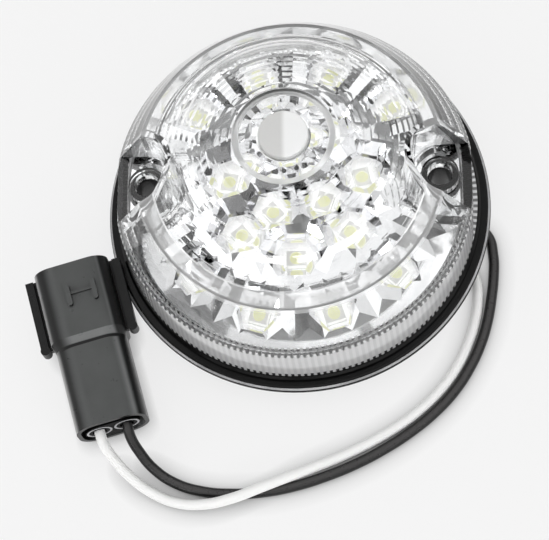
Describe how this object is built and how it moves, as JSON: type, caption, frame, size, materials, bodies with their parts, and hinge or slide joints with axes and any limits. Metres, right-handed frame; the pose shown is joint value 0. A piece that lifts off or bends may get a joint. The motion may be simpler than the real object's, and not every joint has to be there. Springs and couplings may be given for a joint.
{
  "type": "round LED vehicle lamp",
  "caption": "Round LED vehicle lamp with a clear domed lens, a faceted bright reflector, a black gasket and a short two-wire lead that ends in a sealed plug.",
  "frame": {"origin": "on the lamp's axis, on the rear face of the gasket, midway between the two fixing holes", "axes": "+Z along the lamp's axis, out of the lens; +X towards the fixing hole beside the wire outlet; +Y makes up the right-handed set, away from the loop of the lead"},
  "size_m": [0.0891, 0.0938, 0.0402],
  "materials": {
    "lens_clear": "clear, polished, with fine flutes inside the skirt",
    "base_black": "moulded, semi-gloss",
    "gasket_rubber": "smooth, with a soft sheen",
    "reflector_bright": "bright metallised, faceted",
    "board_white": "printed board with a white coating",
    "potting_black": "poured resin",
    "chip_black": "moulded package",
    "capacitor_can": "drawn can",
    "emitter_white": "white package with a pale yellow well",
    "wire_black": "extruded insulation, soft sheen",
    "wire_white": "extruded insulation, soft sheen",
    "plug_grey": "moulded, fine matte grain",
    "lock_grey": "moulded, matte",
    "cover_black": "moulded, matte",
    "pin_metal": "tin plated",
    "seal_rubber": "moulded, matte"
  },
  "bodies": {
    "root": {"lens": "lens_clear", "housing": "base_black", "gasket": "gasket_rubber", "reflector": "reflector_bright", "circuit_board": "board_white", "potting": "potting_black", "wire_grommet": "gasket_rubber", "diode": "chip_black", "driver_chip": "chip_black", "capacitor": "capacitor_can", "resistor_1": "chip_black", "resistor_2": "chip_black", "resistor_3": "chip_black", "resistor_4": "chip_black", "resistor_5": "chip_black", "resistor_6": "chip_black", "emitter_1": "emitter_white", "emitter_2": "emitter_white", "emitter_3": "emitter_white", "emitter_4": "emitter_white", "emitter_5": "emitter_white", "emitter_6": "emitter_white", "emitter_7": "emitter_white", "emitter_8": "emitter_white", "emitter_9": "emitter_white", "emitter_10": "emitter_white", "emitter_11": "emitter_white", "emitter_12": "emitter_white", "emitter_13": "emitter_white", "emitter_14": "emitter_white", "emitter_15": "emitter_white", "emitter_16": "emitter_white", "emitter_17": "emitter_white", "emitter_18": "emitter_white", "wire_black": "wire_black", "wire_white": "wire_white", "plug_housing": "plug_grey", "plug_lock": "lock_grey", "plug_cover": "cover_black", "plug_pin_1": "pin_metal", "plug_pin_2": "pin_metal", "wire_seal_1": "seal_rubber", "wire_seal_2": "seal_rubber"}
  },
  "joints": []
}
